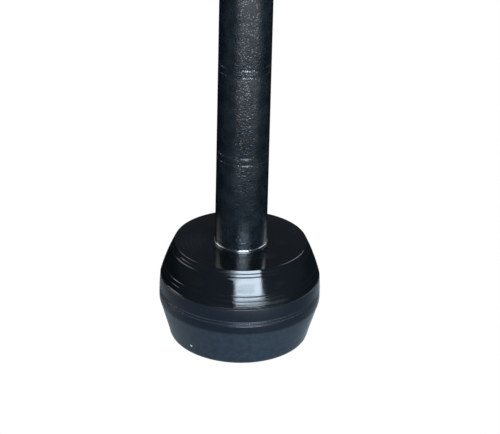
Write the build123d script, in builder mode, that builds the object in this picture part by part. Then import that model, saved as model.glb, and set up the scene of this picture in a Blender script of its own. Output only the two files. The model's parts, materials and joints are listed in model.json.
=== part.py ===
"""Ladder stabilizer leg: a round steel leg on a barrel-shaped screw foot, carried by a clamping collar
that splays on a yoke bolted to the ladder's side rail.

Millimetres, +Z up. The origin is the centre of the sole, the leg stands on the Z axis, and the ladder
rail is on the +Y side.
"""
import os
from math import atan2, cos, degrees, radians, sin, tan

from build123d import *

# ---- leg tube -------------------------------------------------------------------------------------
leg_od = 30.0
leg_wall = 2.5
leg_length = 500.0
leg_end_chamfer = 0.5

cap_rise = 4.0
cap_overhang = 3.0
cap_plug = 24.0
cap_ribs = 4
cap_rib_pitch = 5.0
cap_rib_height = 1.6
cap_rib_depth = 1.2
cap_wall = 2.5

# height marks: pairs of V grooves round the tube
mark_first = 56.4        # first pair above the foot's top face
mark_pitch = 53.8
mark_top_margin = 27.0   # at least this much plain tube above the last pair
mark_gap = 4.3           # between the two grooves of a pair
mark_width = 1.3
mark_depth = 0.45

# ---- foot -----------------------------------------------------------------------------------------
foot_height = 60.2
foot_top_radius = 38.2
ridge_radius = 46.2      # widest edge of the turned body
ridge_height = 39.2
crown = 0.6              # how far the side between rim and ridge stands out from a straight cone
rim_chamfer = 0.5
turned_groove_width = 0.9
turned_groove_depth = 0.3
turned_grooves = (0.095, 0.18, 0.675, 0.80, 0.945)   # shares of the way from the rim to the ridge

boot_proud = 0.1         # rubber boot past the ridge
band_proud = 0.45        # its band past its top edge
band_below_ridge = 8.3
band_height = 6.6
knee_height = 7.4
knee_inset = 5.1         # from the band
sole_inset = 7.0         # from the band
sole_rounding = 4.0
boot_wall = 10.6         # between the boot's side and the plug of the turned body
boot_floor = 9.0
boot_groove_width = 1.5
boot_groove_depth = 0.7
boot_groove_pitch = 1.9
access_radius = 17.5     # hole in the sole, for the spindle nut
sole_plug_thickness = 7.0
sole_plug_chamfer = 0.6
tread_depth = 2.0
tread_slot_width = 3.0
tread_slots = 8
tread_ring_width = 2.0
tread_margin = 2.0
tread_edge_margin = 1.6

# ---- foot spindle ---------------------------------------------------------------------------------
spindle_od = 16.0
spindle_pitch = 2.0
foot_travel = 24.0       # how far the foot screws out
thread_clearance = 0.08  # radial, at screw threads and shafts that turn
insert_length = 45.0
nut_across_flats = 24.0
nut_height = 8.0
washer_thickness = 2.5
washer_od = 30.0
nut_recess_radius = 17.0
stop_ring_clearance = 1.5   # to the tube's bore
stop_ring_height = 6.0
stop_pin_diameter = 3.0
stop_clearance = 0.5

thrust_thickness = 0.8
thrust_overhang = 0.5    # how far the thrust washer stands out past the tube

# ---- sole screws ----------------------------------------------------------------------------------
sole_screw_od = 5.0
sole_screw_length = 14.0
sole_screw_head_od = 8.8
sole_screw_head_height = 3.0
sole_washer_od = 11.0
sole_washer_thickness = 1.0
sole_screw_pcd = 52.0
sole_screw_count = 4
sole_counterbore_depth = 5.0

# ---- collar ---------------------------------------------------------------------------------------
collar_below_top = 87.8  # from the tube's top to the collar's middle
collar_side_wall = 10.38 # along X, towards the ears
collar_wall = 4.38       # along Y
collar_height = 80.0
collar_corner = 9.0
bush_wall = 2.3
bush_length = 24.0
bush_flange = 2.5
bush_flange_overhang = 2.2
slide_clearance = 0.3    # between bushes and tube
press_gap = 0.02         # between parts pressed or screwed tight together
screw_end_gap = 0.6      # from a screw's end to the liner bushes

# ---- slide clamp ----------------------------------------------------------------------------------
clamp_screw_od = 8.0
clamp_boss_radius = 11.0
clamp_boss_length = 8.0
clamp_insert_od = 13.0
clamp_insert_setback = 1.38 # from the insert's end to the collar's bore
pad_thickness = 1.3
pad_height = 22.0
pad_half_angle = 32.0
pad_clearance = 1.0      # pad to tube with the clamp let off
knob_gap = 5.0           # between the boss and the clamp knob
cap_stand_out = 0.6      # how far the knobs' caps stand out

# ---- hand knobs -----------------------------------------------------------------------------------
clamp_knob_radius = 25.0
clamp_knob_lobes = 6
clamp_knob_grip = 14.0
clamp_knob_hub = 6.0
splay_knob_radius = 18.0
splay_knob_lobes = 5
splay_knob_grip = 12.0
splay_knob_hub = 3.0
knob_edge = 1.8
knob_cap_height = 1.6

# ---- yoke -----------------------------------------------------------------------------------------
ear_thickness = 4.0
ear_top = 17.0           # above the pivot
ear_margin = 6.6         # round the slot
ear_corner = 14.0
weld_leg = 4.0
weld_inset = 3.0
pivot_above_centre = 18.0
pivot_shoulder_od = 12.0
pivot_thread_od = 10.0
pivot_head_af = 17.0
pivot_head_height = 6.0
pivot_washer_od = 22.0
pivot_washer_thickness = 2.0
spacer_od = 26.0
spacer_thickness = 1.0
face_play = 0.05         # between faces that turn on each other
bolt_clearance = 0.35
splay_radius = 31.0      # from the pivot to the splay studs
splay_angle = 25.0
splay_stud_od = 8.0
slot_clearance = 0.4
lock_slack = 1.0         # washer to ear with the lock let off
lock_washer_od = 22.0
lock_washer_thickness = 2.0
splay_insert_od = 12.0
guide_head_od = 16.0
guide_head_height = 5.0

# ---- rail plate -----------------------------------------------------------------------------------
plate_side = 26.9        # past each ear
plate_thickness = 5.0
plate_above_pivot = 26.0
plate_below_pivot = 84.0
plate_corner = 8.0
plate_gap = 12.0         # between the collar's back and the plate
rail_hole_diameter = 9.0
rail_hole_inset = 13.0
rail_pad_thickness = 2.5
rail_pad_inset = 1.0

# ---- worked out -----------------------------------------------------------------------------------
leg_radius = leg_od / 2
tube_bore_radius = leg_radius - leg_wall
tube_bottom = foot_height + thrust_thickness
tube_top = tube_bottom + leg_length
mark_count = int((leg_length - mark_first - mark_top_margin) / mark_pitch) + 1
boot_radius = ridge_radius + boot_proud
boot_band_radius = boot_radius + band_proud
boot_band_top = ridge_height - band_below_ridge
boot_band_bottom = boot_band_top - band_height
boot_knee_radius = boot_band_radius - knee_inset
sole_radius = boot_band_radius - sole_inset
cap_radius = leg_radius + cap_overhang
cap_core_radius = tube_bore_radius - cap_rib_depth
spindle_radius = spindle_od / 2
insert_top = tube_bottom + insert_length
stop_ring_radius = tube_bore_radius - stop_ring_clearance
stop_ring_bottom = insert_top + foot_travel + stop_clearance
spindle_top = stop_ring_bottom + stop_ring_height + 1.0
plug_radius = boot_radius - boot_wall
nut_recess_top = boot_floor + nut_height + washer_thickness + 4.0
collar_z = tube_top - collar_below_top
collar_bottom = collar_z - collar_height / 2
collar_top = collar_z + collar_height / 2
bush_bore_radius = leg_radius + slide_clearance
bush_radius = bush_bore_radius + bush_wall
collar_bore_radius = bush_radius + press_gap
collar_side = collar_bore_radius + collar_side_wall
collar_width = 2 * collar_side
collar_depth = 2 * (collar_bore_radius + collar_wall)
screw_end = collar_bore_radius + screw_end_gap
pad_outer_radius = leg_radius + pad_clearance + pad_thickness
clamp_boss_front = collar_depth / 2 + clamp_boss_length
clamp_insert_length = clamp_boss_front - collar_bore_radius - clamp_insert_setback
clamp_knob_start = clamp_boss_front + knob_gap
clamp_knob_depth = clamp_knob_hub + clamp_knob_grip
pivot_z = collar_z + pivot_above_centre
ear_inside = collar_side + spacer_thickness + 2 * face_play
ear_outside = ear_inside + ear_thickness
pivot_head_start = ear_outside + pivot_washer_thickness + 2 * face_play
splay_z = pivot_z - splay_radius
slot_width = splay_stud_od + 2 * slot_clearance
ear_bottom = splay_radius + slot_width / 2 + ear_margin
ear_front = splay_radius * sin(radians(splay_angle)) + slot_width / 2 + ear_margin
lock_washer_start = ear_outside + lock_slack
splay_knob_start = lock_washer_start + lock_washer_thickness + press_gap
splay_knob_depth = splay_knob_hub + splay_knob_grip
plate_width = 2 * (ear_outside + plate_side)
plate_front = collar_depth / 2 + plate_gap
plate_back = plate_front + plate_thickness
plate_top = pivot_z + plate_above_pivot
plate_bottom = pivot_z - plate_below_pivot
plate_height = plate_top - plate_bottom
plate_z = (plate_top + plate_bottom) / 2

BASE = (Align.CENTER, Align.CENTER, Align.MIN)     # cylinders that stand on their plane

os.makedirs("parts", exist_ok=True)


def save(piece, name):
    """Label the finished piece and write it as one STEP file."""
    piece.part.label = name
    export_step(piece.part, f"parts/{name}.step")


def v_groove(radius, height, width, depth, lean=0.0):
    """Section of a V groove round the Z axis, its mouth centred on (radius, height) of a side that
    leans by lean degrees; the mouth stands a little outside the side so that the cut is clean."""
    out = 0.2
    half = width / 2 * (depth + out) / depth
    along = Vector(-sin(radians(lean)), cos(radians(lean)))
    away = Vector(cos(radians(lean)), sin(radians(lean)))
    mouth = Vector(radius, height) + away * out
    return Polyline(
        mouth + along * half, mouth - along * half, Vector(radius, height) - away * depth, close=True
    )


def ring(outer, inner, height):
    """Round washer or sleeve standing on the sketch plane."""
    Cylinder(outer, height, align=BASE)
    Cylinder(inner, height, align=BASE, mode=Mode.SUBTRACT)


# ==== foot =========================================================================================
rim = Vector(foot_top_radius, foot_height)
ridge = Vector(ridge_radius, ridge_height)
slope = ridge - rim
side_lean = degrees(atan2(slope.X, -slope.Y))
side_normal = Vector(-slope.Y, slope.X).normalized()
side_middle = rim + slope * 0.5 + side_normal * crown

with BuildPart() as foot_body:
    with BuildSketch(Plane.XZ):
        with BuildLine():
            ThreePointArc(rim, side_middle, ridge)
            Polyline(
                ridge,
                (plug_radius, ridge_height),
                (plug_radius, boot_floor),
                (0, boot_floor),
                (0, foot_height),
                rim,
            )
        make_face()
    revolve(axis=Axis.Z)
    with BuildSketch(Plane.XZ):
        for share in turned_grooves:
            spot = rim + slope * share + side_normal * (4 * crown * share * (1 - share))
            lean = side_lean - degrees(atan2(4 * crown * (1 - 2 * share), slope.length))
            with BuildLine():
                v_groove(spot.X, spot.Y, turned_groove_width, turned_groove_depth, lean)
            make_face()
    revolve(axis=Axis.Z, mode=Mode.SUBTRACT)
    chamfer(foot_body.edges().filter_by(GeomType.CIRCLE).group_by(Axis.Z)[-1], rim_chamfer)
    with Locations((0, 0, foot_height)):
        Hole(spindle_radius + press_gap)
    with Locations((0, 0, boot_floor)):
        Cylinder(
            nut_recess_radius,
            nut_recess_top - boot_floor,
            align=BASE,
            mode=Mode.SUBTRACT,
        )
        with PolarLocations(sole_screw_pcd / 2, sole_screw_count):
            Cylinder(
                sole_screw_od / 2 + press_gap,
                sole_screw_length,
                align=BASE,
                mode=Mode.SUBTRACT,
            )
save(foot_body, "foot_body")

with BuildPart() as rubber_boot:
    with BuildSketch(Plane.XZ) as boot_section:
        with BuildLine():
            Polyline(
                (plug_radius, ridge_height),
                (boot_radius, ridge_height),
                (boot_band_radius, boot_band_top),
                (boot_band_radius, boot_band_bottom),
                (boot_knee_radius, knee_height),
                (sole_radius, 0),
                (access_radius, 0),
                (access_radius, boot_floor),
                (plug_radius, boot_floor),
                close=True,
            )
        make_face()
        fillet(boot_section.vertices().sort_by_distance((sole_radius, 0, 0))[0], sole_rounding)
    revolve(axis=Axis.Z)
    with BuildSketch(Plane.XZ):
        for n in range(2):
            height = boot_band_top - boot_groove_pitch * n
            with BuildLine():
                v_groove(boot_band_radius, height, boot_groove_width, boot_groove_depth)
            make_face()
    revolve(axis=Axis.Z, mode=Mode.SUBTRACT)
    # screw holes with counterbores, seen from below
    with PolarLocations(sole_screw_pcd / 2, sole_screw_count):
        Cylinder(
            sole_screw_od / 2 + bolt_clearance,
            boot_floor,
            align=BASE,
            mode=Mode.SUBTRACT,
        )
        Cylinder(
            sole_washer_od / 2 + bolt_clearance,
            sole_counterbore_depth,
            align=BASE,
            mode=Mode.SUBTRACT,
        )
    # tread: one ring near the edge and short radial slots inside it
    tread_edge = sole_radius - sole_rounding - tread_edge_margin
    tread_inside = tread_edge - tread_ring_width
    with BuildSketch(Plane.XY):
        Circle(tread_edge)
        Circle(tread_inside, mode=Mode.SUBTRACT)
        slot_length = tread_inside - access_radius - 2 * tread_margin
        with PolarLocations(
            access_radius + tread_margin + slot_length / 2, tread_slots, start_angle=180 / tread_slots
        ):
            SlotOverall(slot_length, tread_slot_width)
    extrude(amount=tread_depth, mode=Mode.SUBTRACT)
save(rubber_boot, "rubber_boot")

with BuildPart() as spindle:
    with Locations((0, 0, boot_floor + 3.0)):
        Cylinder(
            spindle_radius,
            spindle_top - boot_floor - 3.0,
            align=BASE,
        )
    chamfer(spindle.edges().filter_by(GeomType.CIRCLE), 1.2)
    with Locations(Pos(0, 0, stop_ring_bottom + stop_ring_height / 2) * Rot(90, 0, 0)):
        Cylinder(stop_pin_diameter / 2 + press_gap, spindle_od, mode=Mode.SUBTRACT)
save(spindle, "spindle")

with BuildPart(Plane.XY.offset(nut_recess_top - washer_thickness)) as spindle_washer:
    ring(washer_od / 2, spindle_radius + bolt_clearance, washer_thickness)
save(spindle_washer, "spindle_washer")

with BuildPart() as spindle_nut:
    with BuildSketch(Plane.XY.offset(nut_recess_top - washer_thickness - nut_height)):
        RegularPolygon(nut_across_flats / 2, 6, major_radius=False)
        Circle(spindle_radius + press_gap, mode=Mode.SUBTRACT)
    extrude(amount=nut_height)
    # the corners are turned off at both faces
    with BuildSketch(Plane.XZ):
        corner = nut_across_flats / 2 / cos(radians(30))
        for face, inward in ((nut_recess_top - washer_thickness, -1), (nut_recess_top - washer_thickness - nut_height, 1)):
            with BuildLine():
                Polyline(
                    (nut_across_flats / 2 - 0.4, face),
                    (corner + 0.5, face),
                    (corner + 0.5, face + inward * 1.1),
                    close=True,
                )
            make_face()
    revolve(axis=Axis.Z, mode=Mode.SUBTRACT)
save(spindle_nut, "spindle_nut")

with BuildPart(Plane.XY.offset(stop_ring_bottom)) as stop_ring:
    ring(stop_ring_radius, spindle_radius + press_gap, stop_ring_height)
    with Locations(Pos(0, 0, stop_ring_height / 2) * Rot(90, 0, 0)):
        Cylinder(stop_pin_diameter / 2 + press_gap, 4 * stop_ring_radius, mode=Mode.SUBTRACT)
save(stop_ring, "stop_ring")

with BuildPart() as stop_pin:
    with Locations(Pos(0, 0, stop_ring_bottom + stop_ring_height / 2) * Rot(90, 0, 0)):
        Cylinder(stop_pin_diameter / 2, 2 * stop_ring_radius - 1.0)
    chamfer(stop_pin.edges().filter_by(GeomType.CIRCLE), 0.3)
save(stop_pin, "stop_pin")

with BuildPart() as sole_plug:
    Cylinder(access_radius - press_gap, sole_plug_thickness, align=BASE)
    chamfer(sole_plug.edges().filter_by(GeomType.CIRCLE), sole_plug_chamfer)
save(sole_plug, "sole_plug")

with BuildPart() as sole_washers:
    with Locations((0, 0, sole_counterbore_depth - sole_washer_thickness)):
        with PolarLocations(sole_screw_pcd / 2, sole_screw_count):
            Cylinder(
                sole_washer_od / 2, sole_washer_thickness, align=BASE
            )
            Cylinder(
                sole_screw_od / 2 + bolt_clearance,
                sole_washer_thickness,
                align=BASE,
                mode=Mode.SUBTRACT,
            )
save(sole_washers, "sole_washers")

with BuildPart() as sole_screws:
    head_bottom = sole_counterbore_depth - sole_washer_thickness - sole_screw_head_height
    with Locations((0, 0, head_bottom)):
        with PolarLocations(sole_screw_pcd / 2, sole_screw_count):
            Cylinder(
                sole_screw_head_od / 2,
                sole_screw_head_height,
                align=BASE,
            )
    chamfer(sole_screws.edges().filter_by(GeomType.CIRCLE).group_by(Axis.Z)[0], 0.7)
    with Locations((0, 0, head_bottom + sole_screw_head_height)):
        with PolarLocations(sole_screw_pcd / 2, sole_screw_count):
            Cylinder(
                sole_screw_od / 2, sole_screw_length, align=BASE
            )
    # hexagon sockets
    with BuildSketch(Plane.XY.offset(head_bottom)):
        with PolarLocations(sole_screw_pcd / 2, sole_screw_count):
            RegularPolygon(2.0, 6, major_radius=False)
    extrude(amount=2.0, mode=Mode.SUBTRACT)
save(sole_screws, "sole_screws")

with BuildPart(Plane.XY.offset(foot_height)) as thrust_washer:
    ring(leg_radius + thrust_overhang, spindle_radius + bolt_clearance, thrust_thickness)
save(thrust_washer, "thrust_washer")

# ==== leg ==========================================================================================
with BuildPart() as leg_tube:
    with Locations((0, 0, tube_bottom)):
        Cylinder(leg_radius, leg_length, align=BASE)
        Cylinder(
            tube_bore_radius, leg_length, align=BASE, mode=Mode.SUBTRACT
        )
    rims = leg_tube.edges().filter_by(GeomType.CIRCLE).filter_by(lambda e: e.radius > leg_radius - 0.1)
    chamfer(rims, leg_end_chamfer)
    with BuildSketch(Plane.XZ):
        for n in range(mark_count):
            for side in (-0.5, 0.5):
                with BuildLine():
                    v_groove(
                        leg_radius,
                        foot_height + mark_first + n * mark_pitch + side * mark_gap,
                        mark_width,
                        mark_depth,
                    )
                make_face()
    revolve(axis=Axis.Z, mode=Mode.SUBTRACT)
save(leg_tube, "leg_tube")

with BuildPart(Plane.XY.offset(tube_bottom)) as spindle_insert:
    ring(tube_bore_radius - press_gap, spindle_radius + thread_clearance, insert_length)
    chamfer(spindle_insert.edges().filter_by(GeomType.CIRCLE), 0.8)
save(spindle_insert, "spindle_insert")

with BuildPart() as top_cap:
    with Locations((0, 0, tube_top)):
        Cylinder(cap_radius, cap_rise, align=BASE)
    fillet(top_cap.edges().filter_by(GeomType.CIRCLE).group_by(Axis.Z)[-1], cap_rise * 0.8)
    with Locations((0, 0, tube_top - cap_plug)):
        Cylinder(cap_core_radius, cap_plug, align=BASE)
    for n in range(cap_ribs):
        with Locations((0, 0, tube_top - cap_rib_pitch * (n + 1))):
            Cylinder(tube_bore_radius - press_gap, cap_rib_height, align=BASE)
    with Locations((0, 0, tube_top - cap_plug)):
        Cylinder(cap_core_radius - cap_wall, cap_plug - cap_wall, align=BASE, mode=Mode.SUBTRACT)
save(top_cap, "top_cap")

# ==== collar =======================================================================================
with BuildPart() as slide_collar:
    with BuildSketch(Plane.XY.offset(collar_bottom)):
        RectangleRounded(collar_width, collar_depth, collar_corner)
    extrude(amount=collar_height)
    chamfer(slide_collar.faces().filter_by(Axis.Z).edges(), 1.5)
    with BuildSketch(Plane.XZ.offset(collar_depth / 2)):
        with Locations((0, collar_z)):
            Circle(clamp_boss_radius)
    extrude(amount=clamp_boss_length)
    chamfer(slide_collar.faces().sort_by(Axis.Y)[0].edges(), 1.0)
    with Locations((0, 0, collar_bottom)):
        Cylinder(collar_bore_radius, collar_height, align=BASE, mode=Mode.SUBTRACT)
    # clamp screw and its threaded insert, through the front wall
    with Locations(Pos(0, -clamp_boss_front, collar_z) * Rot(-90, 0, 0)):
        Cylinder(clamp_insert_od / 2 + press_gap, clamp_insert_length, align=BASE, mode=Mode.SUBTRACT)
        Cylinder(clamp_screw_od / 2 + bolt_clearance, clamp_boss_front, align=BASE, mode=Mode.SUBTRACT)
    # pivot bolts and splay studs, through both side walls
    for height, diameter in ((pivot_z, pivot_thread_od), (splay_z, splay_stud_od)):
        with Locations(Pos(0, 0, height) * Rot(0, 90, 0)):
            Cylinder(diameter / 2 + press_gap, collar_width + 1, mode=Mode.SUBTRACT)
save(slide_collar, "slide_collar")


def liner_bush(direction):
    """Flanged liner bush at the collar's top (direction 1) or bottom (direction -1)."""
    face = collar_z + direction * collar_height / 2
    overhang = bush_radius + bush_flange_overhang
    with BuildSketch(Plane.XZ) as section:
        with BuildLine():
            Polyline(
                (bush_bore_radius, face - direction * bush_length),
                (bush_radius, face - direction * bush_length),
                (bush_radius, face),
                (overhang, face),
                (overhang, face + direction * bush_flange * 0.6),
                (overhang - 1.0, face + direction * bush_flange),
                (bush_bore_radius, face + direction * bush_flange),
                close=True,
            )
        make_face()
    revolve(section.sketch, axis=Axis.Z)


with BuildPart() as upper_bush:
    liner_bush(1)
save(upper_bush, "upper_bush")

with BuildPart() as lower_bush:
    liner_bush(-1)
save(lower_bush, "lower_bush")

# ==== slide clamp ==================================================================================
with BuildPart(Plane.XZ.offset(clamp_boss_front - clamp_insert_length)) as clamp_insert:
    with Locations((0, collar_z)):
        ring(clamp_insert_od / 2, clamp_screw_od / 2 + thread_clearance, clamp_insert_length)
    chamfer(clamp_insert.edges().filter_by(GeomType.CIRCLE).group_by(Axis.Y)[0], 0.4)
save(clamp_insert, "clamp_insert")

with BuildPart() as pressure_pad:
    with BuildSketch(Plane.XY.offset(collar_z - pad_height / 2)):
        Circle(pad_outer_radius)
        Circle(leg_radius + pad_clearance, mode=Mode.SUBTRACT)
        with BuildLine():
            reach = 2 * pad_outer_radius
            half_width = reach * tan(radians(pad_half_angle))
            Polyline((0, 0), (-half_width, -reach), (half_width, -reach), close=True)
        make_face(mode=Mode.INTERSECT)
    extrude(amount=pad_height)
save(pressure_pad, "pressure_pad")


def hand_knob(plane, radius, lobes, hub, grip, bore_radius):
    """Scalloped knob standing on its hub, bored for its screw and sunk for its cap."""
    depth = hub + grip
    scoop = radius * 0.42
    with BuildSketch(plane.offset(hub)) as outline:
        Circle(radius)
        with PolarLocations(radius * 1.22, lobes):
            Circle(scoop, mode=Mode.SUBTRACT)
        fillet(outline.vertices(), radius * 0.14)
    grip_body = extrude(outline.sketch, amount=grip)
    fillet(grip_body.faces().filter_by(GeomType.PLANE).edges(), knob_edge)
    Cylinder(radius * 0.5, depth / 2, align=BASE)
    Cylinder(bore_radius, depth - knob_cap_height, align=BASE, mode=Mode.SUBTRACT)
    with Locations((0, 0, depth - knob_cap_height)):
        Cylinder(radius * 0.38 + press_gap, knob_cap_height, align=BASE, mode=Mode.SUBTRACT)


def knob_cap(piece, plane, radius, depth):
    """Low domed cap that closes a knob's face."""
    with Locations((0, 0, depth - knob_cap_height)):
        Cylinder(radius * 0.38, knob_cap_height + cap_stand_out, align=BASE)
    outer_face = piece.faces().filter_by(GeomType.PLANE).sort_by(Axis(plane.origin, plane.z_dir))[-1]
    chamfer(outer_face.edges(), cap_stand_out * 0.8)


clamp_knob_plane = Plane(
    origin=(0, -clamp_knob_start, collar_z), x_dir=(1, 0, 0), z_dir=(0, -1, 0)
)
splay_knob_plane = Plane(origin=(splay_knob_start, 0, splay_z), x_dir=(0, 1, 0), z_dir=(1, 0, 0))

with BuildPart(clamp_knob_plane) as clamp_knob:
    hand_knob(
        clamp_knob_plane,
        clamp_knob_radius,
        clamp_knob_lobes,
        clamp_knob_hub,
        clamp_knob_grip,
        clamp_screw_od / 2 + press_gap,
    )
save(clamp_knob, "clamp_knob")

with BuildPart(clamp_knob_plane) as clamp_knob_cap:
    knob_cap(clamp_knob_cap, clamp_knob_plane, clamp_knob_radius, clamp_knob_depth)
save(clamp_knob_cap, "clamp_knob_cap")

with BuildPart(Plane.XZ.offset(pad_outer_radius + press_gap)) as clamp_screw:
    with Locations((0, collar_z)):
        Cylinder(
            clamp_screw_od / 2,
            clamp_knob_start + clamp_knob_depth - knob_cap_height - pad_outer_radius - 2 * press_gap,
            align=BASE,
        )
    chamfer(clamp_screw.edges().filter_by(GeomType.CIRCLE), 0.8)
save(clamp_screw, "clamp_screw")

# ==== yoke pivots ==================================================================================
with BuildPart() as pivot_bolts:
    for side in (-1, 1):
        with Locations(Pos(side * screw_end, 0, pivot_z) * Rot(0, side * 90, 0)):
            Cylinder(pivot_thread_od / 2, collar_side - screw_end + press_gap, align=BASE)
        with Locations(Pos(side * (collar_side + press_gap), 0, pivot_z) * Rot(0, side * 90, 0)):
            Cylinder(pivot_shoulder_od / 2, pivot_head_start - collar_side - press_gap, align=BASE)
        with BuildSketch(Plane.YZ.offset(side * pivot_head_start)):
            with Locations((0, pivot_z)):
                RegularPolygon(pivot_head_af / 2, 6, major_radius=False)
        extrude(amount=side * pivot_head_height)
save(pivot_bolts, "pivot_bolts")

with BuildPart() as pivot_washers:
    for side in (-1, 1):
        with Locations(Pos(side * (ear_outside + face_play), 0, pivot_z) * Rot(0, side * 90, 0)):
            ring(pivot_washer_od / 2, pivot_shoulder_od / 2 + press_gap, pivot_washer_thickness)
save(pivot_washers, "pivot_washers")

with BuildPart() as pivot_spacers:
    for side in (-1, 1):
        with Locations(Pos(side * (collar_side + face_play), 0, pivot_z) * Rot(0, side * 90, 0)):
            ring(spacer_od / 2, pivot_shoulder_od / 2 + press_gap, spacer_thickness)
save(pivot_spacers, "pivot_spacers")

# ==== splay lock ===================================================================================
with BuildPart() as splay_stud:
    with Locations(Pos(screw_end, 0, splay_z) * Rot(0, 90, 0)):
        Cylinder(
            splay_stud_od / 2,
            splay_knob_start + splay_knob_depth - knob_cap_height - 2.0 - screw_end,
            align=BASE,
        )
    chamfer(splay_stud.edges().filter_by(GeomType.CIRCLE), 0.8)
save(splay_stud, "splay_stud")

with BuildPart() as guide_bolt:
    with Locations(Pos(-screw_end, 0, splay_z) * Rot(0, -90, 0)):
        Cylinder(splay_stud_od / 2, ear_outside + face_play - screw_end, align=BASE)
    with Locations(Pos(-ear_outside - face_play, 0, splay_z) * Rot(0, -90, 0)):
        Cylinder(guide_head_od / 2, guide_head_height, align=BASE)
    fillet(guide_bolt.edges().filter_by(GeomType.CIRCLE).group_by(Axis.X)[0], 1.8)
    with BuildSketch(Plane.YZ.offset(-ear_outside - face_play - guide_head_height)):
        with Locations((0, splay_z)):
            RegularPolygon(splay_stud_od / 4, 6, major_radius=False)
    extrude(amount=guide_head_height * 0.6, mode=Mode.SUBTRACT)
save(guide_bolt, "guide_bolt")

with BuildPart(Plane(origin=(lock_washer_start, 0, splay_z), z_dir=(1, 0, 0))) as lock_washer:
    ring(lock_washer_od / 2, splay_stud_od / 2 + thread_clearance, lock_washer_thickness)
save(lock_washer, "lock_washer")

with BuildPart(splay_knob_plane) as splay_knob:
    hand_knob(
        splay_knob_plane,
        splay_knob_radius,
        splay_knob_lobes,
        splay_knob_hub,
        splay_knob_grip,
        splay_insert_od / 2 + press_gap,
    )
save(splay_knob, "splay_knob")

with BuildPart(splay_knob_plane) as splay_insert:
    ring(splay_insert_od / 2, splay_stud_od / 2 + thread_clearance, splay_knob_depth - knob_cap_height)
save(splay_insert, "splay_insert")

with BuildPart(splay_knob_plane) as splay_knob_cap:
    knob_cap(splay_knob_cap, splay_knob_plane, splay_knob_radius, splay_knob_depth)
save(splay_knob_cap, "splay_knob_cap")

# ==== yoke =========================================================================================
slot_path = CenterArc((0, pivot_z), splay_radius, -90, -splay_angle)

with BuildPart() as ear_right:
    with BuildSketch(Plane.YZ.offset(ear_inside)) as outline:
        with BuildLine():
            Polyline(
                (plate_front, pivot_z + ear_top),
                (-ear_front, pivot_z + ear_top),
                (-ear_front, pivot_z - ear_bottom),
                (plate_front, pivot_z - ear_bottom),
                close=True,
            )
        make_face()
        fillet(outline.vertices().sort_by(Axis.X)[:2], ear_corner)
        with Locations((0, pivot_z)):
            Circle(pivot_shoulder_od / 2 + thread_clearance, mode=Mode.SUBTRACT)
        SlotArc(slot_path, slot_width, mode=Mode.SUBTRACT)
    extrude(amount=ear_thickness)
save(ear_right, "ear_right")

with BuildPart() as ear_left:
    mirror(ear_right.part, about=Plane.YZ)
save(ear_left, "ear_left")

with BuildPart() as ear_welds:
    with BuildSketch(Plane.XY.offset(pivot_z - ear_bottom + weld_inset)):
        for side in (-1, 1):
            for foot_x, toe in ((ear_outside, weld_leg), (ear_inside, -weld_leg)):
                with BuildLine():
                    Polyline(
                        (side * foot_x, plate_front),
                        (side * (foot_x + toe), plate_front),
                        (side * foot_x, plate_front - weld_leg),
                        close=True,
                    )
                make_face()
    extrude(amount=ear_top + ear_bottom - 2 * weld_inset)
save(ear_welds, "ear_welds")

with BuildPart() as rail_plate:
    with BuildSketch(Plane.XZ.offset(-plate_front)):
        with Locations((0, plate_z)):
            RectangleRounded(plate_width, plate_height, plate_corner)
            with GridLocations(plate_width - 2 * rail_hole_inset, plate_height - 2 * rail_hole_inset, 2, 2):
                Circle(rail_hole_diameter / 2, mode=Mode.SUBTRACT)
    extrude(amount=-plate_thickness)
    chamfer(rail_plate.faces().sort_by(Axis.Y)[0].outer_wire().edges(), 0.5)
save(rail_plate, "rail_plate")

with BuildPart() as rail_pad:
    with BuildSketch(Plane.XZ.offset(-plate_back)):
        with Locations((0, plate_z)):
            RectangleRounded(
                plate_width - 2 * rail_pad_inset, plate_height - 2 * rail_pad_inset, plate_corner - rail_pad_inset
            )
            with GridLocations(plate_width - 2 * rail_hole_inset, plate_height - 2 * rail_hole_inset, 2, 2):
                Circle(rail_hole_diameter / 2 + bolt_clearance, mode=Mode.SUBTRACT)
    extrude(amount=-rail_pad_thickness)
save(rail_pad, "rail_pad")
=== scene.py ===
import json
import math

import bmesh
import bpy
import numpy as np
from mathutils import Matrix, Vector


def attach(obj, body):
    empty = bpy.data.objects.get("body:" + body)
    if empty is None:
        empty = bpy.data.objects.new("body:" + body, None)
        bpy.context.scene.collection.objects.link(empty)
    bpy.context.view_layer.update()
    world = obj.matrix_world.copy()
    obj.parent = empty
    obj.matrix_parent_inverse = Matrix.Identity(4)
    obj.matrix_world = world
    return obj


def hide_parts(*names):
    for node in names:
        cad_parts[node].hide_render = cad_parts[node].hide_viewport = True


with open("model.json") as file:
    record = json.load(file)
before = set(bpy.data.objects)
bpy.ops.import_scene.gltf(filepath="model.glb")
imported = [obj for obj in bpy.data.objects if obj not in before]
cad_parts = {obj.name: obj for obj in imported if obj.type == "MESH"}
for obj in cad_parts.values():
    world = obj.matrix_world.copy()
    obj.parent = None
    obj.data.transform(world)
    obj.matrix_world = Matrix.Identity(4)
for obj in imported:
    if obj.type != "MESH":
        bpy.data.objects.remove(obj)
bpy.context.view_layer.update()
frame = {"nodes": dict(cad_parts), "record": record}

MM = 0.001
TAU = 2 * math.pi
SAME_POINT = 1e-7  # metres; nearer points are one point
SAME_CAD_POINT = 2e-6  # the same for the CAD meshes' loose triangles
FLAT_DEGREES = 0.5  # CAD faces that turn less than this are joined again
SHARP_DEGREES = 32.0  # edges sharper than this stay sharp or are rounded off
ARC_STEPS = 5  # straight steps in a profile's rounded corner
GROOVE_LIP = 0.25  # mm, rounding of a V groove's edges


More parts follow.
